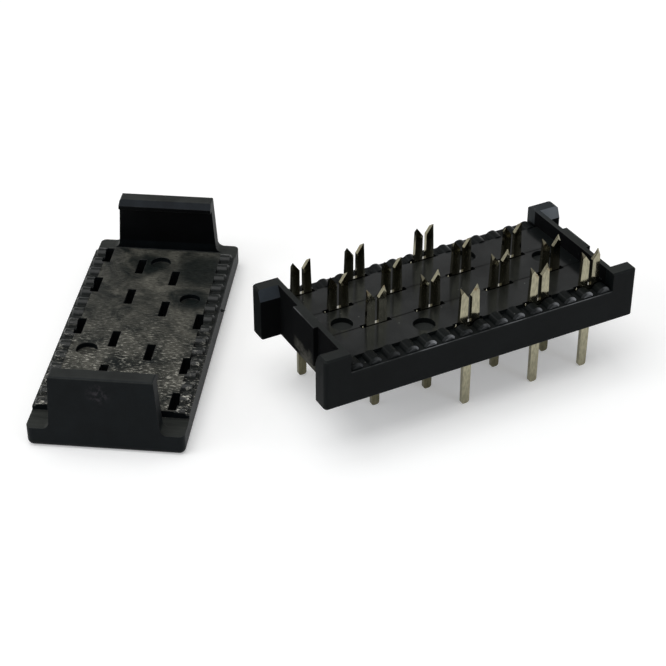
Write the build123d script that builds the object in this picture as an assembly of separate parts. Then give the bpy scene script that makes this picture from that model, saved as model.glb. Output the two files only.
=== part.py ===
from build123d import *
import os

# Insulation displacement connector for flat ribbon cable, with its snap cover taken off.
# The base stands on its solder tails, and the cover lies beside it with its inner side up.
# Millimetres. X runs along the base, Y across it, Z up. The origin is the middle of the
# flat underside that seats on the board.

# Contact pattern
pitch = 1.27  # from one cable conductor to the next
row_gap = 2.54  # from one row of contacts to the next
row_order = "ABCD"  # the rows from the far edge to the near edge
row_of_conductor = "ABCABCDABCDBCD"  # the row that holds each conductor's contact
rows_turned = "AB"  # rows whose contacts have their bevelled face to the far side

# Flat cable that the two halves grip
cable_thickness = 0.9

# Contacts, stamped from strip
strip_thickness = 0.25
fork_height = 2.48  # from the deck to the tips
fork_tip_width = 1.25
fork_root_width = 1.45
wire_slot = 0.26
wire_slot_floor = 0.07  # above the deck
lead_in_depth = 0.66  # from the tips down to the parallel part of the wire slot
tip_flat = 0.04
bevel_inset = 0.15
bevel_drop = 0.35
shoulder_width = 2.0
shoulder_drop = 0.2  # below the deck
tail_width = 0.62
tail_end_width = 0.56
tail_reach = 3.6  # from the underside to the tips of the tails
tail_tip_radius = 0.2

# Base housing
deck_height = 2.55
base_width = 9.8
contact_seat = 0.6  # height of the step that carries the contacts' shoulders
contact_play = 0.05
shelf_drop = 0.25
ridge_radius = 0.5
ridge_crown = 0.08  # above the deck
ridge_end_chamfer = 0.12
base_ridge_length = 1.0
edge_margin = 0.15  # flat strip outside the ridges
ear_rise = 1.0
ear_lead_across = 0.3
ear_lead_down = 0.75
end_wall = 0.36
edge_radius = 0.25
edge_chamfer = 0.12

# Latch between the cover's arms and the base's end walls
lug_depth = 0.3
lug_width = 2.66
arm_thickness = 0.95
arm_foot_width = 6.9
arm_top_width = 6.4
arm_root_radius = 0.45
arm_end_play = 0.15  # from the lug to the arm
arm_side_play = 0.25  # from the arm's foot to the ear
board_play = 0.05  # from the board to the closed arm's end
lip_height = 0.6
lip_play = 0.05  # from the end wall to the lip
lip_lead_across = 0.4
lip_lead_down = 0.33
lip_radius = 0.15
latch_play = 0.1  # from the lip up to the lug

# Cover
cover_thickness = 1.9
pad_drop = 0.5  # end pads below the inner face
pad_play = 0.12  # from the raised middle to the base's end walls
cover_ridge_length = 0.8
cover_edge_radius = 0.4
fork_play_along = 0.175
fork_play_across = 0.15

# Shallow round marks of the ejector pins, in both mouldings
mark_diameter = 1.4
mark_depth = 0.35
mark_along = 3.18  # from the middle, for the pair nearer it
mark_across = 2.8  # the same, off the long centre line
end_mark_along = 7.62  # for the outer pair
end_mark_across = 0.42  # the base's outer pair, off the long centre line

# Where the loose cover lies
cover_turn = 55.94
cover_gap = 3.0  # from the base's far left corner to the cover's long side
cover_slide = 2.55  # from that corner to the cover's middle, along the cover

# Sizes that follow from the ones above
conductors = len(row_of_conductor)
half_width = base_width / 2
middle_end = conductors / 2 * pitch + ridge_radius
wall_end = middle_end + end_wall
lug_end = wall_end + lug_depth
arm_inner = lug_end + arm_end_play
half_length = arm_inner + arm_thickness
ear_top = deck_height + ear_rise
ear_inner = arm_foot_width / 2 + arm_side_play
closed_height = deck_height + cable_thickness
arm_height = closed_height - board_play
lug_bottom = board_play + lip_height + latch_play
cover_middle_end = middle_end - pad_play
lip_end = wall_end + lip_play


def block(x_range, y_range, z_range):
    """Box between a lowest and a highest value along each axis."""
    sizes = [high - low for low, high in (x_range, y_range, z_range)]
    middle = [(high + low) / 2 for low, high in (x_range, y_range, z_range)]
    return Pos(*middle) * Box(*sizes)


def contact_places():
    """Middle of each contact, from the first conductor to the last."""
    middle = (conductors - 1) / 2
    middle_row = (len(row_order) - 1) / 2
    return [
        ((number - middle) * pitch, (middle_row - row_order.index(row)) * row_gap)
        for number, row in enumerate(row_of_conductor)
    ]


def ridges(inner_y, length, top_z):
    """Cable ridges along both long edges, one on each side of every conductor."""
    ridge = extrude(Plane.XZ * Circle(ridge_radius), length, dir=(0, 1, 0))
    ridge = chamfer(ridge.faces().sort_by(Axis.Y)[-1].edges(), ridge_end_chamfer)
    axis_z = top_z + ridge_crown - ridge_radius
    edge = []
    for number in range(conductors + 1):
        x = (number - conductors / 2) * pitch
        edge.append(Pos(x, inner_y, axis_z) * ridge)
        edge.append(Pos(x, -inner_y, axis_z) * Rot(0, 0, 180) * ridge)
    return edge


def mark(x, y, top_z):
    """Cutter for one round ejector mark in the face at top_z."""
    return Pos(x, y, top_z) * Cylinder(mark_diameter / 2, 2 * mark_depth)


def both_ends(piece):
    """A piece at the +X end and its half-turn copy at the other end."""
    return [piece, Rot(0, 0, 180) * piece]


def ear_lead_in(side):
    """Cutter for the slope that guides a cover arm past the inner side of one ear."""
    inner = side * ear_inner
    outer = side * (ear_inner + ear_lead_across)
    corners = [
        (inner, ear_top - ear_lead_down),
        (outer, ear_top),
        (outer, ear_top + ear_lead_across),
        (inner - side * ear_lead_across, ear_top + ear_lead_across),
        (inner - side * ear_lead_across, ear_top - ear_lead_down),
    ]
    face = make_face(Plane.YZ * Polyline(*corners, close=True))
    along = half_length - wall_end + ear_lead_across
    return Pos(wall_end, 0, 0) * extrude(face, along, dir=(1, 0, 0))


def contact_slot(x, y):
    """Stepped slot for one contact: wide for its body, narrow for its tail."""
    half_across = strip_thickness / 2 + contact_play
    across = (y - half_across, y + half_across)
    half_body = shoulder_width / 2 + contact_play
    half_tail = tail_width / 2 + contact_play
    above_ridges = deck_height + 2 * ridge_crown
    body = block((x - half_body, x + half_body), across, (contact_seat, above_ridges))
    tail = block((x - half_tail, x + half_tail), across, (-contact_seat, contact_seat))
    return body + tail


def base_housing():
    """One moulding: deck with slots and ridges, end walls with latch lugs, and four ears."""
    body = block((-half_length, half_length), (-half_width, half_width), (0, ear_top))
    body = fillet(body.edges().filter_by(Axis.Z), edge_radius)
    levels = body.edges().group_by(Axis.Z)
    body = chamfer(levels[0] + levels[-1], edge_chamfer)

    clear_top = ear_top + ridge_radius
    body -= block((-middle_end, middle_end), (-half_width, half_width), (deck_height, clear_top))
    shelf_inner = half_width - edge_margin - base_ridge_length
    shelf_z = (deck_height - shelf_drop, clear_top)
    for y_range in ((shelf_inner, half_width), (-half_width, -shelf_inner)):
        body -= block((-middle_end, middle_end), y_range, shelf_z)

    recess = block((wall_end, half_length), (-ear_inner, ear_inner), (0, clear_top))
    body -= both_ends(recess)
    for side in (1, -1):
        body -= both_ends(ear_lead_in(side))
    half_lug = lug_width / 2
    lug = block((wall_end - end_wall, lug_end), (-half_lug, half_lug), (lug_bottom, ear_top))
    body += both_ends(lug)

    body += ridges(shelf_inner, base_ridge_length, deck_height)
    body -= [contact_slot(x, y) for x, y in contact_places()]
    for turn in (1, -1):
        body -= mark(turn * mark_along, turn * mark_across, deck_height)
        body -= mark(turn * end_mark_along, turn * end_mark_across, deck_height)
    return body


def tip_bevel(side, tip_z):
    """Cutter for the sloped outer corner of one tine, on the contact's front face."""
    outer = side * fork_tip_width / 2
    front = -strip_thickness / 2
    slope = lead_in_depth / ((fork_tip_width - wire_slot) / 2)
    back_corner = Vector(outer, -front, tip_z)
    front_peak = Vector(outer - side * bevel_inset, front, tip_z - bevel_inset * slope)
    front_corner = Vector(outer, front, tip_z - bevel_drop)
    normal = (front_peak - back_corner).cross(front_corner - back_corner)
    if normal.Z < 0:
        normal = -normal
    reach = fork_tip_width / 2
    return Plane(front_peak, z_dir=normal) * Pos(0, 0, reach / 2) * Box(reach, reach, reach)


def contact():
    """Stamped contact at the origin: wire fork above, body in the deck, solder tail below."""
    tip_z = deck_height + fork_height
    tip = fork_tip_width / 2
    slot = wire_slot / 2
    body = shoulder_width / 2
    shoulder_z = deck_height - shoulder_drop
    right = [
        (slot, deck_height + wire_slot_floor),
        (slot, tip_z - lead_in_depth),
        (tip - tip_flat, tip_z),
        (tip, tip_z),
        (fork_root_width / 2, shoulder_z),
        (body, shoulder_z),
        (body, contact_seat),
        (tail_width / 2, contact_seat),
        (tail_end_width / 2, -tail_reach),
    ]
    left = [(-x, z) for x, z in reversed(right)]
    outline = make_face(Plane.XZ * Polyline(*right, *left, close=True))
    outline = fillet(outline.vertices().group_by(Axis.Z)[0], tail_tip_radius)
    blade = extrude(outline, strip_thickness / 2, both=True)
    for side in (1, -1):
        blade -= tip_bevel(side, tip_z)
    return blade


def cover_arm():
    """Latch arm at the cover's +X end, with its hooked lip turned inwards."""
    plate_middle = -(pad_drop + cover_thickness) / 2
    side_view = [
        (half_length, plate_middle),
        (half_length, arm_height),
        (lip_end + lip_lead_across, arm_height),
        (lip_end, arm_height - lip_lead_down),
        (lip_end, arm_height - lip_height),
        (arm_inner, arm_height - lip_height),
        (arm_inner, -pad_drop),
        (lip_end, -pad_drop),
        (lip_end, plate_middle),
    ]
    side_face = make_face(Plane.XZ * Polyline(*side_view, close=True))
    arm = extrude(side_face, half_width, both=True)

    foot = arm_foot_width / 2
    top = arm_top_width / 2
    spread = half_width - cover_edge_radius
    taper = (foot - top) / (arm_height + pad_drop)
    above = arm_height + lip_height
    end_view = [
        (-spread, plate_middle),
        (spread, plate_middle),
        (spread, -pad_drop),
        (foot, -pad_drop),
        (top - taper * lip_height, above),
        (taper * lip_height - top, above),
        (-foot, -pad_drop),
        (-spread, -pad_drop),
    ]
    end_face = make_face(Plane.YZ * Polyline(*end_view, close=True))
    shoulders = end_face.vertices().filter_by_position(Axis.Z, -pad_drop, -pad_drop)
    end_face = fillet(shoulders.sort_by(Axis.Y)[1:-1], arm_root_radius)
    arm &= extrude(end_face, 2 * half_length, dir=(1, 0, 0))
    top_edges = arm.edges().group_by(Axis.Z)[-1].sort_by(Axis.X)
    return fillet(top_edges[1:], lip_radius)


def cover():
    """One moulding: plate with fork slots and cable ridges, and a latch arm at each end.

    It is made in its own frame: X along it, and its inner face, towards +Z, at height zero.
    """
    body = block((-half_length, half_length), (-half_width, half_width), (-cover_thickness, 0))
    upright = body.edges().filter_by(Axis.Z)
    underside = body.edges().group_by(Axis.Z)[0]
    body = fillet(upright + underside, cover_edge_radius)

    clear_top = ridge_radius
    pad = block((cover_middle_end, half_length), (-half_width, half_width), (-pad_drop, clear_top))
    body -= both_ends(pad)
    shelf_inner = half_width - edge_margin - cover_ridge_length
    for y_range in ((shelf_inner, half_width), (-half_width, -shelf_inner)):
        body -= block((-half_length, half_length), y_range, (-shelf_drop, clear_top))

    middle = block(
        (-cover_middle_end, cover_middle_end), (-half_width, half_width), (-cover_thickness, clear_top)
    )
    body += [ridge & middle for ridge in ridges(shelf_inner, cover_ridge_length, 0)]

    # The cover turns over to close, so its slots are a mirror image of the contacts' pattern.
    slot = Box(
        fork_root_width + 2 * fork_play_along,
        strip_thickness + 2 * fork_play_across,
        2 * (cover_thickness + ridge_crown),
    )
    body -= [Pos(-x, y, 0) * slot for x, y in contact_places()]
    for turn in (1, -1):
        body -= mark(turn * mark_along, -turn * mark_across, 0)
        body -= mark(turn * end_mark_along, 0, 0)
    body += both_ends(cover_arm())
    return body


# The cover turned and moved from its own middle to where it lies
cover_place = (
    Pos(-half_length, half_width, -tail_reach)
    * Rot(0, 0, cover_turn)
    * Pos(cover_slide, half_width + cover_gap, cover_thickness)
)

os.makedirs("parts", exist_ok=True)
export_step(base_housing(), "parts/base_housing.step")
export_step(cover_place * cover(), "parts/cover.step")

one_contact = contact()
for number, (x, y) in enumerate(contact_places(), start=1):
    turn = 180 if row_of_conductor[number - 1] in rows_turned else 0
    placed = Pos(x, y, 0) * Rot(0, 0, turn) * one_contact
    export_step(placed, f"parts/contact_{number:02d}.step")
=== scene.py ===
import logging
import math
from dataclasses import dataclass
from enum import Enum

import bpy
import numpy as np
from mathutils import Matrix, Vector


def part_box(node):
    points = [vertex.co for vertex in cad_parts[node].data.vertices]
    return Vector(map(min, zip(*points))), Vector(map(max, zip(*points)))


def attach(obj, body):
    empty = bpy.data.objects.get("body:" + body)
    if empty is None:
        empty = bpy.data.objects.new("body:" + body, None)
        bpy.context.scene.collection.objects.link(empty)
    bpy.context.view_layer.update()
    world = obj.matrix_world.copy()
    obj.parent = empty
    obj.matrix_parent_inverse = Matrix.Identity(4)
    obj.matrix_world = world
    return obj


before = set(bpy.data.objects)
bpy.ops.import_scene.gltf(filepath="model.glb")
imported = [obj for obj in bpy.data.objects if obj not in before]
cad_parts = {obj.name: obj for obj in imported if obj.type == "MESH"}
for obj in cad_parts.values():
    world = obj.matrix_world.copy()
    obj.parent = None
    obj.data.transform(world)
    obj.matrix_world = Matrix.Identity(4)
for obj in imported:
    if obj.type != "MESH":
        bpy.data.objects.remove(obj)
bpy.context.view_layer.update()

log = logging.getLogger("connector")

MM = 0.001
CAMERA_IMAGE_PIXELS = 666
SENSOR_WIDTH_MM = 36.0
WHITE = "ffffff"

# Names of a surface's regions, each with the node whose value is 1 on it and 0 off it.
Regions = dict[str, bpy.types.Node]


class Row(Enum):
    """The four rows of contacts, with each row's distance from the long centre line in mm."""

    FAR = 3.81
    INNER_FAR = 1.27
    INNER_NEAR = -1.27
    NEAR = -3.81


@dataclass(frozen=True)
class Ramp:
    """A value that goes from first to last over the span from start to stop, and stays there beyond it."""

    start: float
    stop: float
    first: float = 0.0
    last: float = 1.0

    def ends(self, unit: float = 1.0) -> dict[str, float]:
        """Give the ramp's numbers by socket name, with its span in units of so many metres."""
        return {
            "From Min": self.start * unit, "From Max": self.stop * unit,
            "To Min": self.first, "To Max": self.last}


def linear(colour: str) -> tuple[float, float, float, float]:
    """Turn an sRGB colour written as hex into the linear values that shaders take.

    Args:
        colour: six hex digits, such as "1a1c1e".

    Returns:
        Red, green, blue and a full alpha, linear.
    """
    parts = [int(colour[at:at + 2], 16) / 255 for at in (0, 2, 4)]
    # The numbers are those of the sRGB curve: a straight foot up to 0.04045, then a power of 2.4.
    red, green, blue = (p / 12.92 if p <= 0.04045 else ((p + 0.055) / 1.055) ** 2.4 for p in parts)
    return red, green, blue, 1.0


def add_node(
    tree: bpy.types.NodeTree, kind: str, inputs: dict | None = None, **settings: object
) -> bpy.types.Node:
    """Add one shader node, give it its settings and fill or link its inputs.

    Args:
        tree: the material's or world's node tree.
        kind: the node's Blender type.
        inputs: socket name or number to a value, or to what feeds it: a socket, or a node, which feeds
            it from its first output in use.
        settings: attributes of the node itself.

    Returns:
        The new node.
    """
    node = tree.nodes.new(kind)
    for name, value in settings.items():
        setattr(node, name, value)
    for key, value in (inputs or {}).items():
        if isinstance(value, bpy.types.Node):
            value = next(socket for socket in value.outputs if socket.enabled)
        if isinstance(value, bpy.types.NodeSocket):
            tree.links.new(value, node.inputs[key])
        else:
            node.inputs[key].default_value = value
    return node


def new_material(name: str) -> tuple[bpy.types.Material, bpy.types.NodeTree]:
    """Make an empty node material.

    Args:
        name: the material's name.

    Returns:
        The material and its node tree.
    """
    material = bpy.data.materials.new(name)
    material.use_nodes = True
    material.node_tree.nodes.clear()
    return material, material.node_tree


def dress(node: bpy.types.Object, material: bpy.types.Material) -> None:
    """Give every material slot of a CAD node the same material.

    Args:
        node: the CAD node.
        material: its finish.
    """
    if not node.material_slots:
        node.data.materials.append(material)
    for slot in node.material_slots:
        slot.material = material


def ring_faces(rings: int, spokes: int) -> np.ndarray:
    """Join each ring of points to the next: face (i, j) has the points (i, j), (i + 1, j), (i + 1, j + 1)
    and (i, j + 1), where i is the ring and j the spoke, and the last spoke joins the first.

    Args:
        rings: number of rings.
        spokes: number of points on each ring.

    Returns:
        The faces, one row of four point numbers each.
    """
    ring, spoke = np.meshgrid(np.arange(rings - 1), np.arange(spokes), indexing="ij")
    after = (spoke + 1) % spokes
    return np.stack([
        ring * spokes + spoke, (ring + 1) * spokes + spoke,
        (ring + 1) * spokes + after, ring * spokes + after], -1).reshape(-1, 4)


def add_piece(name: str, points: np.ndarray, faces: list, material: bpy.types.Material) -> bpy.types.Object:
    """Make one smooth piece whose object sits at the origin.

    Args:
        name: the piece's name.
        points: its points in metres, one row each.
        faces: its faces as lists of point numbers.
        material: its finish.

    Returns:
        The new object.
    """
    mesh = bpy.data.meshes.new(name)
    mesh.from_pydata(points.tolist(), [], faces)
    mesh.shade_smooth()
    mesh.materials.append(material)
    piece = bpy.data.objects.new(name, mesh)
    bpy.context.scene.collection.objects.link(piece)
    log.info("%s made, %d faces", name, len(mesh.polygons))
    return piece


@dataclass(frozen=True)
class Spot:
    """A surface point's place and facing, as sockets that masks and patterns read."""

    vector: bpy.types.NodeSocket
    x: bpy.types.NodeSocket
    y: bpy.types.NodeSocket
    z: bpy.types.NodeSocket
    facing_x: bpy.types.NodeSocket
    facing_z: bpy.types.NodeSocket


def read_spot(tree: bpy.types.NodeTree, centre: Vector | None = None, turn: float = 0.0) -> Spot:
    """Read where a surface point lies, in the object's frame or in a piece's own frame.

    Args:
        tree: the material's node tree.
        centre: origin of the piece's own frame, in metres, or None for the object's frame.
        turn: angle of the piece's long axis from +X, in radians.

    Returns:
        The point's place and facing.
    """
    place = add_node(tree, "ShaderNodeTexCoord").outputs
    vector = place["Object"]
    if centre is not None:
        vector = add_node(tree, "ShaderNodeMapping", {
            "Vector": vector, "Location": centre, "Rotation": (0.0, 0.0, turn)},
            vector_type="TEXTURE").outputs[0]
    at = add_node(tree, "ShaderNodeSeparateXYZ", {0: vector}).outputs
    facing = add_node(tree, "ShaderNodeSeparateXYZ", {0: place["Normal"]}).outputs
    return Spot(vector, at["X"], at["Y"], at["Z"], facing["X"], facing["Z"])


@dataclass(frozen=True)
class HousingPlastic:
    """Black glass-filled polyester, injection moulded in a spark-eroded tool with a polished deck.

    The eroded walls look satin and even, their edges carry thin pale lines of painted highlight, and
    the deck is smooth enough to mirror the forks dimly.
    """

    name: str = "housing_polyester"
    wall_colour: str = "0a0d0e"
    lit_top_colour: str = "272928"
    deck_colour: str = "0d1010"
    recess_shade_colour: str = "050607"
    lit_slope_colour: str = "353a3f"
    window_lit_slope_colour: str = "6a6f73"
    window_lit_ear_colour: str = "2c3032"
    scuff_colour: str = "4b4a45"
    edge_highlight_colour: str = "a0a2a5"
    speck_colour: str = "6f716c"
    score_colour: str = "020202"

    specular: float = 0.07
    wall_roughness: float = 0.48
    polished_roughness: float = 0.34
    hollow_roughness: float = 0.95
    grain_roughness: float = 0.12
    ridge_coat: float = 0.08
    coat_roughness: float = 0.15
    wall_bump: float = 0.2
    deck_bump: float = 0.02
    bump_mm: float = 0.02

    # Spark erosion leaves pits of about 0.03 mm, too fine to show, so the grain is three times as coarse.
    grain_mm: float = 0.09
    # Flow clouds of a small moulding, a crumb of dust every 0.8 mm, and the ragged rim of a scuff.
    cloud_mm: float = 2.6
    dust_mm: float = 0.8
    lit_patch_noise_mm: float = 0.7
    # Flow clouds of a small moulding, a crumb of dust every 0.8 mm, and the ragged rim of the painted lit
    # patch.
    scuff_raggedness_mm: float = 3.0
    insert_line_mm: float = 0.06

    # Heights above the board of the deck, of the shelf that carries the ridges, and of the ears.
    deck_mm: float = 2.55
    shelf_mm: float = 2.3
    ear_top_mm: float = 3.55
    band_foot_mm: float = 2.2
    band_top_mm: float = 2.8
    # Distances from the long centre line.
    lug_side_mm: float = 1.35
    recess_half_width_mm: float = 4.05
    ridge_end_mm: float = 4.75
    shelf_edge_mm: float = 4.9
    # Distances from the short centre line.
    wall_start_mm: float = 9.3
    deck_end_mm: float = 9.38
    recess_start_mm: float = 9.72
    lug_end_mm: float = 10.05
    half_length_mm: float = 11.15

    # How far from a stated place a point may lie and still count.
    level_play_mm: float = 0.012
    shelf_play_mm: float = 0.02
    brink_play_mm: float = 0.035
    edge_play_mm: float = 0.05
    ridge_chamfer_mm: float = 0.12
    chamfer_play_mm: float = 0.01

    # The upward part of the normal: over 0.9 on tops, about 0.37 on the slopes of ears, under 0.6 on walls.
    upward_facing: Ramp = Ramp(0.6, 0.9)
    steep_facing: float = 0.6
    slope_facing: float = 0.37
    slope_facing_play: float = 0.12

    # Painted light: shares of the painted edge highlights, the window-lit far right ear, and the lit patch
    # under the left lug, in mm.
    rim_facing: Ramp = Ramp(-0.2, 0.7, 0.05, 0.9)
    brink_share: float = 0.28
    crest_share: float = 0.35
    window_lit_ear_x_mm: Ramp = Ramp(8.4, 9.6)
    window_lit_ear_y_mm: Ramp = Ramp(2.4, 3.6)
    scuff_sides_mm: Ramp = Ramp(1.5, 0.6)
    scuff_heights_mm: Ramp = Ramp(3.1, 2.1, 0.0, 0.95)

    # What the noise patterns do.
    rim_patches: Ramp = Ramp(0.42, 0.58, 0.15, 1.0)
    specks: Ramp = Ramp(0.03, 0.07, 0.45, 0.0)
    cloud_shade: Ramp = Ramp(0.3, 0.7, 0.8, 1.25)
    cloud_polish: Ramp = Ramp(0.35, 0.65, 0.5, 0.85)

    def regions(self, tree: bpy.types.NodeTree, spot: Spot) -> Regions:
        """Tell the moulding's regions apart by place and facing.

        Args:
            tree: the material's node tree.
            spot: the surface point's place and facing.

        Returns:
            Nodes whose value is 1 on the region they are named for and 0 off it, with end and side, the
            distances from the short and the long centre line.
        """
        end = add_node(tree, "ShaderNodeMath", {0: spot.x}, operation="ABSOLUTE")
        side = add_node(tree, "ShaderNodeMath", {0: spot.y}, operation="ABSOLUTE")
        upward = add_node(tree, "ShaderNodeMapRange", {"Value": spot.facing_z, **self.upward_facing.ends()})
        steep = add_node(tree, "ShaderNodeMath", {
            0: spot.facing_z, 1: self.steep_facing}, operation="LESS_THAN")
        between_ends = add_node(tree, "ShaderNodeMath", {
            0: end, 1: self.deck_end_mm * MM}, operation="LESS_THAN")

        level = add_node(tree, "ShaderNodeMath", {
            0: spot.z, 1: self.deck_mm * MM, 2: self.level_play_mm * MM}, operation="COMPARE")
        deck = add_node(tree, "ShaderNodeMath", {0: level, 1: between_ends}, operation="MULTIPLY")
        low = add_node(tree, "ShaderNodeMath", {0: spot.z, 1: self.band_top_mm * MM}, operation="LESS_THAN")
        high = add_node(tree, "ShaderNodeMath", {
            0: spot.z, 1: self.band_foot_mm * MM}, operation="GREATER_THAN")
        shelf = low
        for mask in (high, between_ends):
            shelf = add_node(tree, "ShaderNodeMath", {0: shelf, 1: mask}, operation="MULTIPLY")
        not_deck = add_node(tree, "ShaderNodeMath", {0: 1.0, 1: deck}, operation="SUBTRACT")
        ridged = add_node(tree, "ShaderNodeMath", {0: shelf, 1: not_deck}, operation="MULTIPLY")

        between_ears = add_node(tree, "ShaderNodeMath", {
            0: side, 1: self.recess_half_width_mm * MM}, operation="LESS_THAN")
        past_wall = add_node(tree, "ShaderNodeMath", {
            0: end, 1: self.recess_start_mm * MM}, operation="GREATER_THAN")
        recess = past_wall
        for mask in (between_ears, steep):
            recess = add_node(tree, "ShaderNodeMath", {0: recess, 1: mask}, operation="MULTIPLY")
        at_wall = add_node(tree, "ShaderNodeMath", {
            0: end, 1: self.wall_start_mm * MM}, operation="GREATER_THAN")
        inboard = add_node(tree, "ShaderNodeMath", {
            0: end, 1: (self.half_length_mm - self.edge_play_mm) * MM}, operation="LESS_THAN")
        hollow = at_wall
        for mask in (between_ears, steep, inboard):
            hollow = add_node(tree, "ShaderNodeMath", {0: hollow, 1: mask}, operation="MULTIPLY")

        tilted = add_node(tree, "ShaderNodeMath", {
            0: spot.facing_z, 1: self.slope_facing, 2: self.slope_facing_play}, operation="COMPARE")
        slope = add_node(tree, "ShaderNodeMath", {0: tilted, 1: recess}, operation="MULTIPLY")
        # Painted light: the far right ear is painted paler where the window's light falls on it.
        window_lit_end = add_node(tree, "ShaderNodeMapRange", {
            "Value": spot.x, **self.window_lit_ear_x_mm.ends(MM)})
        window_lit_side = add_node(tree, "ShaderNodeMapRange", {
            "Value": spot.y, **self.window_lit_ear_y_mm.ends(MM)})
        window_lit_ear = add_node(tree, "ShaderNodeMath", {0: window_lit_end, 1: window_lit_side}, operation="MULTIPLY")
        return {
            "end": end, "side": side, "upward": upward, "between_ends": between_ends, "deck": deck,
            "shelf": shelf, "ridged": ridged, "recess": recess, "hollow": hollow, "slope": slope,
            "window_lit_ear": window_lit_ear}

    def painted_edge_highlights(
        self, tree: bpy.types.NodeTree, spot: Spot, where: Regions, cloud: bpy.types.Node
    ) -> bpy.types.Node:
        """Mark the painted edge highlights: pale lines on the ridges' chamfers, the shelf's brink, the lugs'
        crests.

        Args:
            tree: the material's node tree.
            spot: the surface point's place and facing.
            where: the moulding's regions.
            cloud: the slow noise that breaks the edges into patches.

        Returns:
            The share of painted highlight.
        """
        half_chamfer = self.ridge_chamfer_mm / 2
        chamfer = add_node(tree, "ShaderNodeMath", {
            0: where["side"], 1: (self.ridge_end_mm - half_chamfer) * MM,
            2: (half_chamfer + self.chamfer_play_mm) * MM}, operation="COMPARE")
        off_shelf = add_node(tree, "ShaderNodeMath", {
            0: spot.z, 1: (self.shelf_mm + self.shelf_play_mm) * MM}, operation="GREATER_THAN")
        cable_side = add_node(tree, "ShaderNodeMapRange", {
            "Value": spot.facing_x, **self.rim_facing.ends()})
        rim = chamfer
        for mask in (off_shelf, cable_side):
            rim = add_node(tree, "ShaderNodeMath", {0: rim, 1: mask}, operation="MULTIPLY")

        outermost = add_node(tree, "ShaderNodeMath", {
            0: where["side"], 1: (self.shelf_edge_mm - self.edge_play_mm) * MM}, operation="GREATER_THAN")
        brink = add_node(tree, "ShaderNodeMath", {
            0: spot.z, 1: self.shelf_mm * MM, 2: self.brink_play_mm * MM}, operation="COMPARE")
        brink = add_node(tree, "ShaderNodeMath", {0: brink, 1: outermost}, operation="MULTIPLY")
        rim = add_node(tree, "ShaderNodeMath", {
            0: brink, 1: self.brink_share, 2: rim}, operation="MULTIPLY_ADD")
        rim = add_node(tree, "ShaderNodeMath", {
            0: rim, 1: where["between_ends"]}, operation="MULTIPLY", use_clamp=True)

        crest = add_node(tree, "ShaderNodeMath", {
            0: spot.z, 1: self.ear_top_mm * MM, 2: self.edge_play_mm * MM}, operation="COMPARE")
        lug_front = add_node(tree, "ShaderNodeMath", {
            0: where["end"], 1: self.lug_end_mm * MM, 2: self.edge_play_mm * MM}, operation="COMPARE")
        on_lug = add_node(tree, "ShaderNodeMath", {
            0: where["side"], 1: self.lug_side_mm * MM}, operation="LESS_THAN")
        for mask in (lug_front, on_lug):
            crest = add_node(tree, "ShaderNodeMath", {0: crest, 1: mask}, operation="MULTIPLY")
        rim = add_node(tree, "ShaderNodeMath", {
            0: crest, 1: self.crest_share, 2: rim}, operation="MULTIPLY_ADD", use_clamp=True)
        patchy = add_node(tree, "ShaderNodeMapRange", {"Value": cloud, **self.rim_patches.ends()})
        return add_node(tree, "ShaderNodeMath", {0: rim, 1: patchy}, operation="MULTIPLY")

    def scuffed(self, tree: bpy.types.NodeTree, spot: Spot, where: Regions) -> bpy.types.Node:
        """Mark the painted lit patch under the left lug: grey painted light, soft at its sides and ragged at
        its top.

        Args:
            tree: the material's node tree.
            spot: the surface point's place and facing.
            where: the moulding's regions.

        Returns:
            The share of painted lit patch.
        """
        patch_noise = add_node(tree, "ShaderNodeTexNoise", {
            "Vector": spot.vector, "Scale": 1 / (self.lit_patch_noise_mm * MM), "Detail": 5.0, "Roughness": 0.7})
        ragged = add_node(tree, "ShaderNodeMath", {
            0: patch_noise, 1: self.scuff_raggedness_mm * MM, 2: spot.z}, operation="MULTIPLY_ADD")
        # Painted light: the lit patch fades out upwards, with a ragged top.
        worn = add_node(tree, "ShaderNodeMapRange", {"Value": ragged, **self.scuff_heights_mm.ends(MM)})
        wide = add_node(tree, "ShaderNodeMapRange", {
            "Value": where["side"], **self.scuff_sides_mm.ends(MM)}, interpolation_type="SMOOTHSTEP")
        left_end = add_node(tree, "ShaderNodeMath", {0: spot.x, 1: 0.0}, operation="LESS_THAN")
        scuffed = worn
        for mask in (wide, where["recess"], left_end):
            scuffed = add_node(tree, "ShaderNodeMath", {0: scuffed, 1: mask}, operation="MULTIPLY")
        return scuffed

    def insert_lines(self, tree: bpy.types.NodeTree, where: Regions) -> bpy.types.Node:
        """Mark the hair lines that joints between the tool's inserts leave along the inner rows of contacts.

        Args:
            tree: the material's node tree.
            where: the moulding's regions.

        Returns:
            The share of line, which falls from 1 to 0 over the line's outer half.
        """
        off_row = add_node(tree, "ShaderNodeMath", {
            0: where["side"], 1: Row.INNER_FAR.value * MM}, operation="SUBTRACT")
        off_line = add_node(tree, "ShaderNodeMath", {0: off_row}, operation="ABSOLUTE")
        fade = Ramp(self.insert_line_mm / 2, self.insert_line_mm, 1.0, 0.0)
        near_line = add_node(tree, "ShaderNodeMapRange", {"Value": off_line, **fade.ends(MM)})
        return add_node(tree, "ShaderNodeMath", {0: near_line, 1: where["deck"]}, operation="MULTIPLY")

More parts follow.
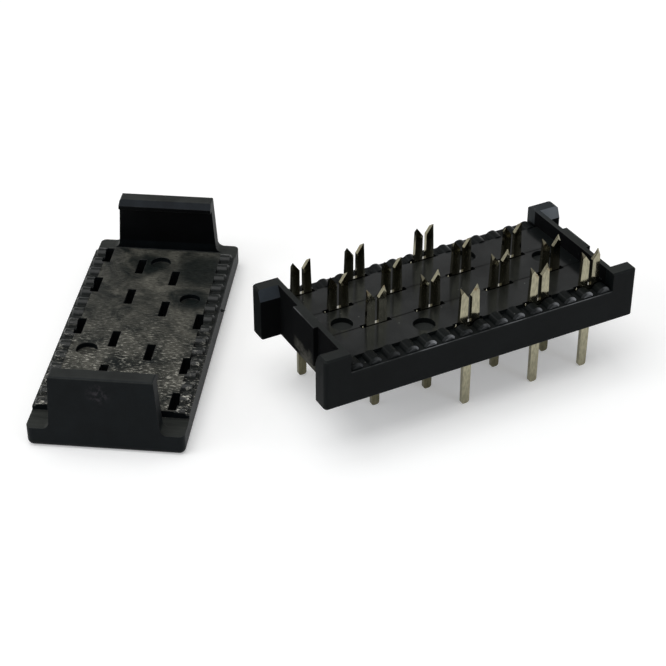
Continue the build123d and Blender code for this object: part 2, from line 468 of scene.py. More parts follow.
    def colour(
        self, tree: bpy.types.NodeTree, spot: Spot, where: Regions, cloud: bpy.types.Node
    ) -> bpy.types.Node:
        """Lay the colours over each other: plastic by region with painted light and shade, flow clouds,
        dust, painted edge highlights, insert lines.

        Args:
            tree: the material's node tree.
            spot: the surface point's place and facing.
            where: the moulding's regions, with rim, lit patch and line.
            cloud: the slow noise of the plastic's flow.

        Returns:
            The surface's colour.
        """
        # Painted light: faces that look up are painted lighter than the walls, as if lit from overhead.
        painted_lit_top = add_node(tree, "ShaderNodeMix", {
            0: where["upward"], 6: linear(self.wall_colour), 7: linear(self.lit_top_colour)}, data_type="RGBA")
        above_deck = add_node(tree, "ShaderNodeMath", {
            0: spot.z, 1: self.deck_mm * MM}, operation="GREATER_THAN")
        # Painted light on the far right ear above the deck.
        paler = add_node(tree, "ShaderNodeMath", {
            0: where["window_lit_ear"], 1: above_deck}, operation="MULTIPLY")
        eared = add_node(tree, "ShaderNodeMix", {
            0: paler, 6: painted_lit_top, 7: linear(self.window_lit_ear_colour)}, data_type="RGBA")
        decked = add_node(tree, "ShaderNodeMix", {
            0: where["shelf"], 6: eared, 7: linear(self.deck_colour)}, data_type="RGBA")
        # Painted shade: the steep faces of the hollow between the ears are painted near black, as if in
        # shadow.
        tint = add_node(tree, "ShaderNodeMix", {
            0: where["hollow"], 6: decked, 7: linear(self.recess_shade_colour)}, data_type="RGBA")
        # Painted light: the ears' lead-in slopes are painted a pale blue grey, paler still on the far right
        # ear.
        sloped = add_node(tree, "ShaderNodeMix", {
            0: where["window_lit_ear"], 6: linear(self.lit_slope_colour),
            7: linear(self.window_lit_slope_colour)}, data_type="RGBA")
        tint = add_node(tree, "ShaderNodeMix", {0: where["slope"], 6: tint, 7: sloped}, data_type="RGBA")
        # Painted light: the grey lit patch on the lower left lug.
        tint = add_node(tree, "ShaderNodeMix", {
            0: where["scuff"], 6: tint, 7: linear(self.scuff_colour)}, data_type="RGBA")
        shade = add_node(tree, "ShaderNodeMapRange", {"Value": cloud, **self.cloud_shade.ends()})
        body = add_node(tree, "ShaderNodeVectorMath", {0: tint, 1: shade}, operation="MULTIPLY")

        dust = add_node(tree, "ShaderNodeTexVoronoi", {
            "Vector": spot.vector, "Scale": 1 / (self.dust_mm * MM), "Randomness": 1.0})
        speck = add_node(tree, "ShaderNodeMapRange", {"Value": dust, **self.specks.ends()})
        settled = add_node(tree, "ShaderNodeMath", {0: speck, 1: where["upward"]}, operation="MULTIPLY")
        dusted = add_node(tree, "ShaderNodeMix", {
            0: settled, 6: body, 7: linear(self.speck_colour)}, data_type="RGBA")
        # Painted highlight: thin pale lines on the ridges' chamfers facing one way, the shelf's brink and
        # the lug crests.
        edged = add_node(tree, "ShaderNodeMix", {
            0: where["rim"], 6: dusted, 7: linear(self.edge_highlight_colour)}, data_type="RGBA")
        return add_node(tree, "ShaderNodeMix", {
            0: where["line"], 6: edged, 7: linear(self.score_colour)}, data_type="RGBA")

    def material(self) -> bpy.types.Material:
        """Build the node material.

        Returns:
            The material.
        """
        material, tree = new_material(self.name)
        spot = read_spot(tree)
        grain = add_node(tree, "ShaderNodeTexNoise", {
            "Vector": spot.vector, "Scale": 1 / (self.grain_mm * MM), "Detail": 3.0, "Roughness": 0.6})
        cloud = add_node(tree, "ShaderNodeTexNoise", {
            "Vector": spot.vector, "Scale": 1 / (self.cloud_mm * MM), "Detail": 4.0, "Roughness": 0.55})
        where = self.regions(tree, spot)
        where["rim"] = self.painted_edge_highlights(tree, spot, where, cloud)
        where["scuff"] = self.scuffed(tree, spot, where)
        where["line"] = self.insert_lines(tree, where)
        colour = self.colour(tree, spot, where, cloud)

        wavy = add_node(tree, "ShaderNodeMapRange", {"Value": cloud, **self.cloud_polish.ends()})
        polished = add_node(tree, "ShaderNodeMath", {0: where["deck"], 1: wavy}, operation="MULTIPLY")
        roughness = add_node(tree, "ShaderNodeMix", {
            0: polished, 2: self.wall_roughness, 3: self.polished_roughness})
        dulled = add_node(tree, "ShaderNodeMix", {
            0: where["hollow"], 2: roughness, 3: self.hollow_roughness})
        matt = add_node(tree, "ShaderNodeMath", {
            0: grain, 1: self.grain_roughness, 2: dulled}, operation="MULTIPLY_ADD", use_clamp=True)
        gloss = add_node(tree, "ShaderNodeMath", {
            0: where["ridged"], 1: self.ridge_coat, 2: polished}, operation="MULTIPLY_ADD")
        unscored = add_node(tree, "ShaderNodeMath", {
            0: 1.0, 1: where["line"]}, operation="SUBTRACT", use_clamp=True)
        coat = add_node(tree, "ShaderNodeMath", {
            0: gloss, 1: unscored}, operation="MULTIPLY", use_clamp=True)
        strength = add_node(tree, "ShaderNodeMix", {0: polished, 2: self.wall_bump, 3: self.deck_bump})
        bump = add_node(tree, "ShaderNodeBump", {
            "Height": grain, "Strength": strength, "Distance": self.bump_mm * MM})
        shader = add_node(tree, "ShaderNodeBsdfPrincipled", {
            "Base Color": colour, "Roughness": matt,
            "Specular IOR Level": self.specular, "Coat Weight": coat,
            "Coat Roughness": self.coat_roughness, "Normal": bump})
        add_node(tree, "ShaderNodeOutputMaterial", {"Surface": shader})
        return material


@dataclass(frozen=True)
class CoverPlastic:
    """Black glass-filled polyester of the cover, moulded, with visible flow marks on its inner face.

    The inner face is hazed with brownish grey smears, freckled near its near end, partly with painted
    glints, and stained dark round the far marks. The ridges carry painted glints, and the latch arms are
    plain satin. Places are in the cover's own frame: x along it towards the far arm, and z up from its inner
    face.
    """

    name: str = "cover_polyester"
    wall_colour: str = "0b0f11"
    lit_top_colour: str = "282a29"
    arm_inside_shade_colour: str = "030405"
    lip_colour: str = "191d21"
    smudge_colour: str = "39363a"
    ridge_colour: str = "141716"
    pad_light: str = "3d3f3c"
    face_dark: str = "0f1515"
    face_light: str = "585750"
    fleck_colour: str = "d6d3c6"
    edge_highlight_colour: str = "6f716f"

    specular: float = 0.08
    wall_roughness: float = 0.5
    face_roughness: float = 0.42
    ridge_coat: float = 0.3
    coat_roughness: float = 0.2
    wall_bump: float = 0.15
    face_bump: float = 0.3
    bump_mm: float = 0.04

    # Glass fibres at the surface are about 0.01 mm thick, too fine to show, so the flecks are twelve
    # times as coarse, and three times as long across the cover as along it.
    fleck_mm: float = 0.12
    fleck_stretch: tuple[float, float, float] = (1.0, 0.3, 1.0)
    # Smears of the melt's flow, the clusters of flecks, the streaks on the end pads and the skin's clouds.
    smear_mm: float = 3.0
    cluster_mm: float = 1.5
    streak_mm: float = 0.9
    streak_stretch: tuple[float, float, float] = (3.0, 0.4, 1.0)
    cloud_mm: float = 1.6
    print_mm: float = 0.45
    edge_round_mm: float = 0.06

    # Where the plate's inner face, its ridges and the arms begin and end.
    face_foot_mm: Ramp = Ramp(-0.62, -0.6)
    face_top_mm: Ramp = Ramp(0.12, 0.14, 1.0, 0.0)
    ridge_start_mm: float = 3.97
    middle_end_mm: float = 9.3
    arm_foot_mm: float = 0.15
    arm_inner_mm: float = 10.3
    near_end_mm: Ramp = Ramp(2.0, -8.0)

    # The upward part of the normal, on the face, on the arms' walls and on the slope of a lip.
    upward_facing: Ramp = Ramp(0.1, 0.5)
    steep_facing: float = 0.3
    lip_facing: float = 0.77
    lip_facing_play: float = 0.07

    # Finger smudge on the near arm, and dark stains as x, y and reach.
    smudge_mm: tuple[float, float, float] = (-11.15, 0.2, 2.3)
    smudge_reach_mm: Ramp = Ramp(0.9, 0.2)
    stains_mm: tuple[tuple[float, float, float], ...] = (
        (7.4, 0.6, 1.9), (6.8, -3.2, 3.3), (3.0, -3.0, 1.6), (-4.6, 0.4, 1.3))
    stain_core: float = 0.35
    stain_left: float = 0.12

    # What the noise patterns do.
    smear_patches: Ramp = Ramp(0.34, 0.64)
    fleck_mottle: Ramp = Ramp(0.35, 0.68, 0.4, 1.45)
    fleck_bright: Ramp = Ramp(0.55, 0.63)
    fleck_groups: Ramp = Ramp(0.4, 0.6, 0.3, 1.0)
    cloud_shade: Ramp = Ramp(0.3, 0.7, 0.75, 1.3)
    rim_highlight_patches: Ramp = Ramp(0.42, 0.6, 0.03, 0.25)
    print_patches: Ramp = Ramp(0.45, 0.62, 0.0, 0.7)
    # The cosine between the flat normal and the rounded one falls from 1 as an edge comes near.
    edge_bend: Ramp = Ramp(0.985, 0.9)

    def regions(self, tree: bpy.types.NodeTree, spot: Spot) -> Regions:
        """Tell the cover's regions apart by place and facing.

        Args:
            tree: the material's node tree.
            spot: the surface point's place and facing.

        Returns:
            Nodes whose value is 1 on the region they are named for and 0 off it.
        """
        above = add_node(tree, "ShaderNodeMapRange", {"Value": spot.z, **self.face_foot_mm.ends(MM)})
        below = add_node(tree, "ShaderNodeMapRange", {"Value": spot.z, **self.face_top_mm.ends(MM)})
        upward = add_node(tree, "ShaderNodeMapRange", {"Value": spot.facing_z, **self.upward_facing.ends()})
        face = above
        for mask in (below, upward):
            face = add_node(tree, "ShaderNodeMath", {0: face, 1: mask}, operation="MULTIPLY")
        near = add_node(tree, "ShaderNodeMapRange", {"Value": spot.x, **self.near_end_mm.ends(MM)})
        end = add_node(tree, "ShaderNodeMath", {0: spot.x}, operation="ABSOLUTE")
        side = add_node(tree, "ShaderNodeMath", {0: spot.y}, operation="ABSOLUTE")
        beside = add_node(tree, "ShaderNodeMath", {
            0: side, 1: self.ridge_start_mm * MM}, operation="GREATER_THAN")
        middle = add_node(tree, "ShaderNodeMath", {
            0: end, 1: self.middle_end_mm * MM}, operation="LESS_THAN")
        ridged = beside
        for mask in (middle, face):
            ridged = add_node(tree, "ShaderNodeMath", {0: ridged, 1: mask}, operation="MULTIPLY")

        raised = add_node(tree, "ShaderNodeMath", {
            0: spot.z, 1: self.arm_foot_mm * MM}, operation="GREATER_THAN")
        inboard = add_node(tree, "ShaderNodeMath", {
            0: end, 1: self.arm_inner_mm * MM}, operation="LESS_THAN")
        steep = add_node(tree, "ShaderNodeMath", {
            0: spot.facing_z, 1: self.steep_facing}, operation="LESS_THAN")
        arm_inside = raised
        for mask in (inboard, steep):
            arm_inside = add_node(tree, "ShaderNodeMath", {0: arm_inside, 1: mask}, operation="MULTIPLY")
        leaning = add_node(tree, "ShaderNodeMath", {
            0: spot.facing_z, 1: self.lip_facing, 2: self.lip_facing_play}, operation="COMPARE")
        lip = add_node(tree, "ShaderNodeMath", {0: leaning, 1: raised}, operation="MULTIPLY")
        return {
            "upward": upward, "face": face, "near": near, "middle": middle, "ridged": ridged,
            "arm_inside": arm_inside, "lip": lip}

    def inner_face(
        self, tree: bpy.types.NodeTree, spot: Spot, where: Regions, fleck: bpy.types.Node
    ) -> bpy.types.Node:
        """Colour the inner face: hazed and freckled in the middle, ridges with painted glints, streaked end
        pads.

        Args:
            tree: the material's node tree.
            spot: the surface point's place and facing.
            where: the cover's regions.
            fleck: the fine noise of the glass fibres.

        Returns:
            The inner face's colour.
        """
        smear = add_node(tree, "ShaderNodeTexNoise", {
            "Vector": spot.vector, "Scale": 1 / (self.smear_mm * MM), "Detail": 5.0, "Roughness": 0.62,
            "Distortion": 1.4})
        clean = add_node(tree, "ShaderNodeMapRange", {"Value": smear, **self.smear_patches.ends()})
        for along, across, reach in self.stains_mm:
            away = add_node(tree, "ShaderNodeVectorMath", {
                0: spot.vector, 1: (along * MM, across * MM, 0.0)}, operation="DISTANCE")
            fade = Ramp(self.stain_core * reach, reach, self.stain_left, 1.0)
            lift = add_node(tree, "ShaderNodeMapRange", {
                "Value": away, **fade.ends(MM)}, interpolation_type="SMOOTHSTEP")
            clean = add_node(tree, "ShaderNodeMath", {0: clean, 1: lift}, operation="MULTIPLY")
        haze = add_node(tree, "ShaderNodeMix", {
            0: clean, 6: linear(self.face_dark), 7: linear(self.face_light)}, data_type="RGBA")
        mottle = add_node(tree, "ShaderNodeMapRange", {"Value": fleck, **self.fleck_mottle.ends()})
        hazed = add_node(tree, "ShaderNodeVectorMath", {0: haze, 1: mottle}, operation="MULTIPLY")

        # The near-white flecks near the near end and on the ridges are partly glass fibres and partly
        # painted glints.
        bright = add_node(tree, "ShaderNodeMapRange", {"Value": fleck, **self.fleck_bright.ends()})
        sparkle = add_node(tree, "ShaderNodeMath", {0: bright, 1: where["near"]}, operation="MULTIPLY")
        cluster = add_node(tree, "ShaderNodeTexNoise", {
            "Vector": spot.vector, "Scale": 1 / (self.cluster_mm * MM), "Detail": 3.0, "Roughness": 0.6})
        grouped = add_node(tree, "ShaderNodeMapRange", {"Value": cluster, **self.fleck_groups.ends()})
        sparkle = add_node(tree, "ShaderNodeMath", {0: sparkle, 1: grouped}, operation="MULTIPLY")
        freckled = add_node(tree, "ShaderNodeMix", {
            0: sparkle, 6: hazed, 7: linear(self.fleck_colour)}, data_type="RGBA")

        flow = add_node(tree, "ShaderNodeMapping", {"Vector": spot.vector, "Scale": self.streak_stretch})
        streak = add_node(tree, "ShaderNodeTexNoise", {
            "Vector": flow, "Scale": 1 / (self.streak_mm * MM), "Detail": 4.0})
        pad = add_node(tree, "ShaderNodeMix", {
            0: streak, 6: linear(self.ridge_colour), 7: linear(self.pad_light)}, data_type="RGBA")
        ridge = add_node(tree, "ShaderNodeMix", {
            0: sparkle, 6: linear(self.ridge_colour), 7: linear(self.fleck_colour)}, data_type="RGBA")
        plate = add_node(tree, "ShaderNodeMix", {0: where["middle"], 6: pad, 7: freckled}, data_type="RGBA")
        return add_node(tree, "ShaderNodeMix", {0: where["ridged"], 6: plate, 7: ridge}, data_type="RGBA")

    def outer_walls(
        self, tree: bpy.types.NodeTree, spot: Spot, where: Regions, cloud: bpy.types.Node
    ) -> bpy.types.Node:
        """Colour the walls and arms: satin plastic with painted lit tops and painted shade on the insides,
        lips and a finger smudge.

        Args:
            tree: the material's node tree.
            spot: the surface point's place and facing.
            where: the cover's regions.
            cloud: the slow noise of the plastic's skin.

        Returns:
            The colour of all that isn't the inner face.
        """
        shade = add_node(tree, "ShaderNodeMapRange", {"Value": cloud, **self.cloud_shade.ends()})
        # Painted light: faces that look up are painted lighter than the walls, as if lit from overhead.
        painted_lit_top = add_node(tree, "ShaderNodeMix", {
            0: where["upward"], 6: linear(self.wall_colour), 7: linear(self.lit_top_colour)}, data_type="RGBA")
        # Painted shade: the arms' inner faces are painted near black, as if in shadow.
        outer = add_node(tree, "ShaderNodeMix", {
            0: where["arm_inside"], 6: painted_lit_top, 7: linear(self.arm_inside_shade_colour)}, data_type="RGBA")
        outer = add_node(tree, "ShaderNodeMix", {
            0: where["lip"], 6: outer, 7: linear(self.lip_colour)}, data_type="RGBA")
        from_smudge = add_node(tree, "ShaderNodeVectorMath", {
            0: spot.vector, 1: tuple(part * MM for part in self.smudge_mm)}, operation="DISTANCE")
        smudge = add_node(tree, "ShaderNodeMapRange", {
            "Value": from_smudge, **self.smudge_reach_mm.ends(MM)}, interpolation_type="SMOOTHSTEP")
        print_marks = add_node(tree, "ShaderNodeTexNoise", {
            "Vector": spot.vector, "Scale": 1 / (self.print_mm * MM), "Detail": 4.0, "Roughness": 0.7})
        broken = add_node(tree, "ShaderNodeMapRange", {"Value": print_marks, **self.print_patches.ends()})
        touched = add_node(tree, "ShaderNodeMath", {0: smudge, 1: broken}, operation="MULTIPLY")
        outer = add_node(tree, "ShaderNodeMix", {
            0: touched, 6: outer, 7: linear(self.smudge_colour)}, data_type="RGBA")
        return add_node(tree, "ShaderNodeVectorMath", {0: outer, 1: shade}, operation="MULTIPLY")

    def material(self, centre: Vector, turn: float) -> bpy.types.Material:
        """Build the node material.

        Args:
            centre: middle of the cover's inner face, in metres.
            turn: angle of the cover's long axis from +X, in radians.

        Returns:
            The material.
        """
        material, tree = new_material(self.name)
        spot = read_spot(tree, centre, turn)
        drawn = add_node(tree, "ShaderNodeMapping", {"Vector": spot.vector, "Scale": self.fleck_stretch})
        fleck = add_node(tree, "ShaderNodeTexNoise", {
            "Vector": drawn, "Scale": 1 / (self.fleck_mm * MM), "Detail": 4.0, "Roughness": 0.75})
        cloud = add_node(tree, "ShaderNodeTexNoise", {
            "Vector": spot.vector, "Scale": 1 / (self.cloud_mm * MM), "Detail": 4.0, "Roughness": 0.6})
        where = self.regions(tree, spot)
        inner = self.inner_face(tree, spot, where, fleck)
        plain = self.outer_walls(tree, spot, where, cloud)
        skin = add_node(tree, "ShaderNodeMix", {0: where["face"], 6: plain, 7: inner}, data_type="RGBA")

        # Painted highlight: the rounded edges found by the Bevel normal are painted pale in patches.
        edge = add_node(tree, "ShaderNodeBevel", {"Radius": self.edge_round_mm * MM}, samples=6)
        ground = add_node(tree, "ShaderNodeNewGeometry").outputs["Normal"]
        bend = add_node(tree, "ShaderNodeVectorMath", {0: edge, 1: ground}, operation="DOT_PRODUCT")
        rim = add_node(tree, "ShaderNodeMapRange", {"Value": bend, **self.edge_bend.ends()})
        worn = add_node(tree, "ShaderNodeMapRange", {"Value": cloud, **self.rim_highlight_patches.ends()})
        painted_rim_highlight = add_node(tree, "ShaderNodeMath", {0: rim, 1: worn}, operation="MULTIPLY")
        edged = add_node(tree, "ShaderNodeMix", {
            0: painted_rim_highlight, 6: skin, 7: linear(self.edge_highlight_colour)}, data_type="RGBA")

        roughness = add_node(tree, "ShaderNodeMix", {
            0: where["face"], 2: self.wall_roughness, 3: self.face_roughness})
        strength = add_node(tree, "ShaderNodeMix", {0: where["face"], 2: self.wall_bump, 3: self.face_bump})
        coat = add_node(tree, "ShaderNodeMath", {
            0: where["ridged"], 1: self.ridge_coat}, operation="MULTIPLY")
        bump = add_node(tree, "ShaderNodeBump", {
            "Height": fleck, "Strength": strength, "Distance": self.bump_mm * MM, "Normal": edge})
        shader = add_node(tree, "ShaderNodeBsdfPrincipled", {
            "Base Color": edged, "Roughness": roughness,
            "Specular IOR Level": self.specular, "Coat Weight": coat,
            "Coat Roughness": self.coat_roughness, "Normal": bump})
        add_node(tree, "ShaderNodeOutputMaterial", {"Surface": shader})
        return material


@dataclass(frozen=True)
class TinPlate:
    """Tin-plated copper alloy strip, stamped.

    The faces look bright and a little mottled, with painted glints on upward faces at the deck, the tips
    warm with tarnish, and the tails of the back rows darkened with painted shade, as they lie in the shadow
    under the base.
    """

    name: str = "tin_plate"
    bright_colour: str = "938f7a"
    tail_shadow_colour: str = "57543f"
    glint_colour: str = "efece0"
    tarnish_colour: str = "7a6242"
    roughness: float = 0.09
    worn_roughness: float = 0.14
    bump: float = 0.5
    bump_mm: float = 0.006

    # The plating's grains are about 0.01 mm, too fine to show, so they are twelve times as coarse, and
    # three times as long up the fork, the way the strip was rolled.
    grain_mm: float = 0.12
    grain_stretch: tuple[float, float, float] = (1.0, 1.0, 0.3)
    blotch_mm: float = 0.55

    # Heights above the board of the tarnished tips and of the tails, the level of the painted glints at the
    # deck, and how far the front row and the next one reach from their middle lines, all in mm.
    tip_heights_mm: Ramp = Ramp(4.13, 5.03)
    tail_heights_mm: Ramp = Ramp(0.0, -0.4)
    glint_level_mm: float = 2.62
    glint_play_mm: float = 0.12
    glint_facing: float = 0.8
    front_play_mm: float = 0.61
    second_play_mm: float = 0.63
    tail_shadow_share: float = 0.75

    # What the noise patterns do.
    tarnish_spots: Ramp = Ramp(0.56, 0.7)
    grain_shade: Ramp = Ramp(0.35, 0.65, 0.8, 1.15)
    worn_blotches: Ramp = Ramp(0.3, 0.7)

    def colour(
        self, tree: bpy.types.NodeTree, spot: Spot, grain: bpy.types.Node, blotch: bpy.types.Node
    ) -> bpy.types.Node:
        """Colour the metal: bright, tarnished at tips, painted shade on the back rows' tails, painted glints
        on upward faces at the deck's level.

        Args:
            tree: the material's node tree.
            spot: the surface point's place and facing.
            grain: the fine noise of the plating.
            blotch: the slow noise of wear and tarnish.

        Returns:
            The metal's colour.
        """
        tip = add_node(tree, "ShaderNodeMapRange", {"Value": spot.z, **self.tip_heights_mm.ends(MM)})
        spots = add_node(tree, "ShaderNodeMapRange", {"Value": blotch, **self.tarnish_spots.ends()})
        stain = add_node(tree, "ShaderNodeMath", {0: tip, 1: spots}, operation="MULTIPLY")
        tint = add_node(tree, "ShaderNodeMix", {
            0: stain, 6: linear(self.bright_colour), 7: linear(self.tarnish_colour)}, data_type="RGBA")
        # Painted shade: the tails behind the front row are darkened, as they lie in the shadow under the
        # base.
        past_front = Ramp(
            Row.NEAR.value + self.front_play_mm, Row.INNER_NEAR.value - self.second_play_mm,
            0.0, self.tail_shadow_share)
        behind = add_node(tree, "ShaderNodeMapRange", {"Value": spot.y, **past_front.ends(MM)})
        tail = add_node(tree, "ShaderNodeMapRange", {"Value": spot.z, **self.tail_heights_mm.ends(MM)})
        painted_tail_shadow = add_node(tree, "ShaderNodeMath", {0: behind, 1: tail}, operation="MULTIPLY")
        tint = add_node(tree, "ShaderNodeMix", {
            0: painted_tail_shadow, 6: tint, 7: linear(self.tail_shadow_colour)}, data_type="RGBA")
        shade = add_node(tree, "ShaderNodeMapRange", {"Value": grain, **self.grain_shade.ends()})
        rolled = add_node(tree, "ShaderNodeVectorMath", {0: tint, 1: shade}, operation="MULTIPLY")
        # Painted highlight: upward faces at the deck's level, the slot floors and the burrs' crowns, are
        # painted whitish as glints.
        upward = add_node(tree, "ShaderNodeMath", {
            0: spot.facing_z, 1: self.glint_facing}, operation="GREATER_THAN")
        at_deck = add_node(tree, "ShaderNodeMath", {
            0: spot.z, 1: self.glint_level_mm * MM, 2: self.glint_play_mm * MM}, operation="COMPARE")
        painted_glint = add_node(tree, "ShaderNodeMath", {0: upward, 1: at_deck}, operation="MULTIPLY")
        return add_node(tree, "ShaderNodeMix", {
            0: painted_glint, 6: rolled, 7: linear(self.glint_colour)}, data_type="RGBA")

    def material(self) -> bpy.types.Material:
        """Build the node material.

        Returns:
            The material.
        """
        material, tree = new_material(self.name)
        spot = read_spot(tree)
        stretched = add_node(tree, "ShaderNodeMapping", {
            "Vector": spot.vector, "Scale": self.grain_stretch})
        grain = add_node(tree, "ShaderNodeTexNoise", {
            "Vector": stretched, "Scale": 1 / (self.grain_mm * MM), "Detail": 3.0})
        blotch = add_node(tree, "ShaderNodeTexNoise", {
            "Vector": spot.vector, "Scale": 1 / (self.blotch_mm * MM), "Detail": 4.0, "Roughness": 0.6})
        colour = self.colour(tree, spot, grain, blotch)
        wear = Ramp(self.worn_blotches.start, self.worn_blotches.stop, self.roughness, self.worn_roughness)
        worn = add_node(tree, "ShaderNodeMapRange", {"Value": blotch, **wear.ends()})
        bump = add_node(tree, "ShaderNodeBump", {
            "Height": grain, "Strength": self.bump, "Distance": self.bump_mm * MM})
        shader = add_node(tree, "ShaderNodeBsdfPrincipled", {
            "Base Color": colour, "Metallic": 1.0, "Roughness": worn, "Normal": bump})
        add_node(tree, "ShaderNodeOutputMaterial", {"Surface": shader})
        return material


@dataclass
class BaseHousing:
    """The moulded base with its deck, ridges, end walls and ears."""

    finish: HousingPlastic = HousingPlastic()

    def build(self) -> None:
        """Dress the base."""
        dress(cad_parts["base_housing"], self.finish.material())
        log.info("base_housing dressed in %s", self.finish.name)


@dataclass
class Contacts:
    """The fourteen stamped contacts, each with a shear burr at the left end of its shoulder, whose crown is
    painted whitish as a glint.
    """

    finish: TinPlate = TinPlate()
    prefix: str = "contact_"
    burr_along_mm: float = -0.93
    burr_across_mm: float = -0.07
    burr_length_mm: float = 0.17
    burr_width_mm: float = 0.13
    burr_foot_mm: float = 2.33
    burr_rise_mm: float = 0.3
    burr_crown: float = 0.97
    burr_ripple: float = 0.2
    rings: int = 7
    spokes: int = 12

    def build(self) -> None:
        """Dress every contact in one shared finish and add the burrs."""
        material = self.finish.material()
        names = sorted(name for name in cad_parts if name.startswith(self.prefix))
        boxes = [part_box(name) for name in names]
        middles = np.array([[(low.x + high.x) / 2, (low.y + high.y) / 2] for low, high in boxes])
        for name, middle in zip(names, middles):
            dress(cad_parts[name], material)
            row = min(Row, key=lambda row: abs(row.value * MM - middle[1]))
            log.info("%s dressed in %s, row %s", name, self.finish.name, row.name)
        self.burrs(middles, material)

    def burrs(self, middles: np.ndarray, material: bpy.types.Material) -> None:
        """Make the burrs: stacked rings whose radius is half the burr's size times
        (1 - t^4) * (1 + 0.2 sin 2a), where t runs from the foot to the crown and a goes round.

        Args:
            middles: x and y of each contact's middle, in metres.
            material: the contacts' finish.
        """
        middle = middles[:, :, None, None]
        share = np.linspace(0.0, self.burr_crown, self.rings)[:, None]
        angle = np.linspace(0.0, 2 * np.pi, self.spokes, endpoint=False)[None, :]
        radius = (1 - share ** 4) * (1 + self.burr_ripple * np.sin(2 * angle)) / 2
        along = middle[:, 0] + MM * (self.burr_along_mm + self.burr_length_mm * radius * np.cos(angle))
        across = middle[:, 1] + MM * (self.burr_across_mm + self.burr_width_mm * radius * np.sin(angle))
        height = np.broadcast_to(MM * (self.burr_foot_mm + self.burr_rise_mm * share), along.shape)
        points = np.stack([along, across, height], -1).reshape(-1, 3)
        # The angle runs the other way about the upward axis than on the flash, so each face is turned round.
        sides = ring_faces(self.rings, self.spokes)[:, [0, 3, 2, 1]]
        foot = np.arange(self.spokes)[::-1]
        crown = (self.rings - 1) * self.spokes + np.arange(self.spokes)
        starts = np.arange(len(middles))[:, None] * self.rings * self.spokes
        quads = (starts[:, :, None] + sides[None]).reshape(-1, 4)
        caps = np.concatenate([starts + foot, starts + crown])
        piece = add_piece("contact_burrs", points, quads.tolist() + caps.tolist(), material)
        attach(piece, "root")


@dataclass
class Cover:
    """The loose cover, which lies on its back beside the base."""

    finish: CoverPlastic = CoverPlastic()
    turn_deg: float = 55.94
    thickness_mm: float = 1.9
    half_width_mm: float = 4.9
    flash_along_mm: float = 3.24
    flash_height_mm: float = -0.75
    flash_width_mm: float = 0.24
    flash_reach_mm: float = 0.26
    flash_root_mm: float = 0.12
    flash_taper: float = 0.96
    flash_ripple: float = 0.3
    rings: int = 9
    spokes: int = 14

    def build(self) -> None:
        """Dress the cover and add the spike of flash on its right side."""
        low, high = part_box("cover")
        middle = (low + high) / 2
        centre = Vector((middle.x, middle.y, low.z + self.thickness_mm * MM))
        material = self.finish.material(centre, math.radians(self.turn_deg))
        dress(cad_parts["cover"], material)
        log.info("cover dressed in %s", self.finish.name)
        self.flash(centre, material)

    def flash(self, centre: Vector, material: bpy.types.Material) -> None:
        """Make the spike of flash: rings about an axis square to the side wall, each with the radius
        r = width/2 * (1 - 0.96 t^1.5) * (1 + 0.3 sin 3a), where t runs from the root to the tip and a
        goes round.

        Args:
            centre: middle of the cover's inner face, in metres.
            material: the cover's finish.
        """
        share = np.linspace(0.0, 1.0, self.rings)[:, None]
        angle = np.linspace(0.0, 2 * np.pi, self.spokes, endpoint=False)[None, :]
        ripple = 1 + self.flash_ripple * np.sin(3 * angle)
        radius = self.flash_width_mm / 2 * (1 - self.flash_taper * share ** 1.5) * ripple
        out = self.half_width_mm - self.flash_root_mm + share * (self.flash_root_mm + self.flash_reach_mm)
        along = self.flash_along_mm + radius * np.cos(angle)
        across = -out * np.ones_like(angle)
        height = self.flash_height_mm - radius * np.sin(angle)
        turn = math.radians(self.turn_deg)
        points = np.stack([
            centre.x + MM * (along * math.cos(turn) - across * math.sin(turn)),
            centre.y + MM * (along * math.sin(turn) + across * math.cos(turn)),
            centre.z + MM * height], -1).reshape(-1, 3)
        sides = ring_faces(self.rings, self.spokes)
        last = self.rings * self.spokes
        caps = [list(range(self.spokes)), list(range(last - 1, last - self.spokes - 1, -1))]
        piece = add_piece("cover_flash", points, sides.tolist() + caps, material)
        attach(piece, "root")


@dataclass(frozen=True)
class Lamp:
    """One rectangular soft box that points at the object, with its place and sides in metres."""

    name: str
    place: tuple[float, float, float]
    sides: tuple[float, float]
    watts: float
    colour: str

    def build(self) -> None:
        """Add the lamp to the scene."""
        data = bpy.data.lights.new(self.name, "AREA")
        data.shape = "RECTANGLE"
        data.size, data.size_y = self.sides
        data.energy = self.watts
        data.color = linear(self.colour)[:3]
        lamp = bpy.data.objects.new(self.name, data)
        lamp.location = self.place
        lamp.rotation_euler = (-Vector(self.place)).to_track_quat("-Z", "Y").to_euler()
        lamp.visible_camera = False
        bpy.context.scene.collection.objects.link(lamp)
        log.info("lamp %s added", self.name)


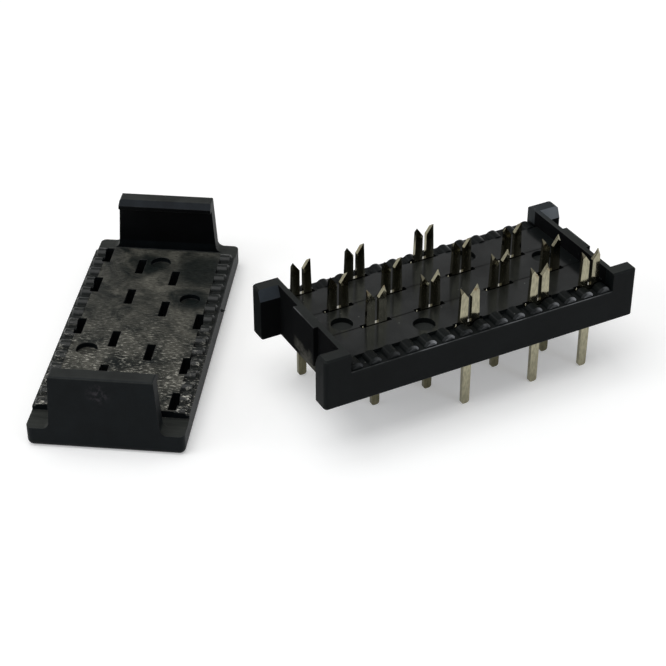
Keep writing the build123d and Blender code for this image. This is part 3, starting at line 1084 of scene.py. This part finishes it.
@dataclass
class Studio:
    """Pale round floor that curves up at its rim, soft lamps overhead, and the photograph's camera."""

    azimuth_deg: float = -28.10
    elevation_deg: float = 34.05
    distance_mm: float = 111.55
    aim_right_mm: float = 7.06
    aim_up_mm: float = 2.81
    aim_height_mm: float = 2.6
    focal_pixels: float = 1770.6
    clip_start: float = 0.005
    clip_end: float = 5.0
    floor_radius_mm: float = 700.0
    rim_height_mm: float = 220.0
    rim_start: float = 0.6
    rings: int = 48
    spokes: int = 96
    floor_colour: str = "ebebea"
    floor_lift: float = 0.27
    room_strength: float = 0.4
    lamps: tuple[Lamp, ...] = (
        Lamp("overhead", (-0.12, 0.02, 0.55), (0.5, 0.5), 1.75, WHITE),
        Lamp("left", (-0.6, 0.1, 0.35), (0.35, 0.35), 0.9, "f8fbff"),
        Lamp("window", (0.17, -0.40, 0.16), (0.14, 0.26), 0.24, "e4edff"))

    def paper(self) -> bpy.types.Material:
        """Build the floor's material: matt paper, lifted to near white where the camera or a mirror sees it.

        Returns:
            The material.
        """
        material, tree = new_material("studio_paper")
        paper = add_node(tree, "ShaderNodeBsdfDiffuse", {"Color": linear(self.floor_colour)})
        ray = add_node(tree, "ShaderNodeLightPath").outputs
        seen = ray["Is Camera Ray"]
        for kind in ("Is Glossy Ray", "Is Transmission Ray"):
            seen = add_node(tree, "ShaderNodeMath", {0: seen, 1: ray[kind]}, operation="MAXIMUM")
        lift = add_node(tree, "ShaderNodeMath", {0: seen, 1: self.floor_lift}, operation="MULTIPLY")
        glow = add_node(tree, "ShaderNodeEmission", {"Color": linear(WHITE), "Strength": lift})
        surface = add_node(tree, "ShaderNodeAddShader", {0: paper, 1: glow})
        add_node(tree, "ShaderNodeOutputMaterial", {"Surface": surface})
        return material

    def floor(self) -> None:
        """Make the floor: a disc whose rings stand at t^1.5 of its radius, where t runs from the middle to
        the rim, and whose height rises with the square of the way past the rim's start."""
        share = np.linspace(0.0, 1.0, self.rings) ** 1.5
        angle = np.linspace(0.0, 2 * np.pi, self.spokes, endpoint=False)
        radius, turn = np.meshgrid(share * self.floor_radius_mm * MM, angle, indexing="ij")
        past = np.clip((share - self.rim_start) / (1 - self.rim_start), 0.0, 1.0)
        ground = min(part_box(name)[0].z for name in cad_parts)
        height = ground + (past ** 2 * self.rim_height_mm * MM)[:, None] * np.ones(self.spokes)
        points = np.stack([radius * np.cos(turn), radius * np.sin(turn), height], -1).reshape(-1, 3)
        faces = ring_faces(self.rings, self.spokes).tolist()
        floor = add_piece("studio_floor", points, faces, self.paper())

    def lights(self) -> None:
        """Add the soft boxes and the dim room round them."""
        for lamp in self.lamps:
            lamp.build()
        world = bpy.data.worlds.new("studio_room")
        world.use_nodes = True
        tree = world.node_tree
        tree.nodes.clear()
        room = add_node(tree, "ShaderNodeBackground", {
            "Color": linear(WHITE), "Strength": self.room_strength})
        add_node(tree, "ShaderNodeOutputWorld", {"Surface": room})
        bpy.context.scene.world = world

    def camera(self) -> None:
        """Place the camera at the photograph's view: the aim point plus the distance along the view axis."""
        azimuth, elevation = math.radians(self.azimuth_deg), math.radians(self.elevation_deg)
        back = Vector((
            math.sin(azimuth) * math.cos(elevation),
            -math.cos(azimuth) * math.cos(elevation),
            math.sin(elevation)))
        right = Vector((0.0, 0.0, 1.0)).cross(back).normalized()
        up = back.cross(right)
        data = bpy.data.cameras.new("photo_camera")
        data.sensor_width = SENSOR_WIDTH_MM
        data.lens = self.focal_pixels / CAMERA_IMAGE_PIXELS * SENSOR_WIDTH_MM
        data.clip_start = self.clip_start
        data.clip_end = self.clip_end
        camera = bpy.data.objects.new("photo_camera", data)
        place = Vector((0.0, 0.0, self.aim_height_mm)) + back * self.distance_mm
        place -= right * self.aim_right_mm + up * self.aim_up_mm
        turn = Matrix((right, up, back)).transposed().to_4x4()
        camera.matrix_world = Matrix.Translation(place * MM) @ turn
        bpy.context.scene.collection.objects.link(camera)
        bpy.context.scene.camera = camera
        log.info("photo_camera placed")

    def build(self) -> None:
        """Make the floor, the lights and the camera."""
        self.floor()
        self.lights()
        self.camera()
        bpy.context.scene.view_settings.view_transform = "Standard"


def main() -> None:
    """Build the studio and dress every piece."""
    logging.basicConfig(level=logging.INFO, format="%(message)s")
    Studio().build()
    BaseHousing().build()
    Contacts().build()
    Cover().build()


if __name__ == "__main__":
    main()
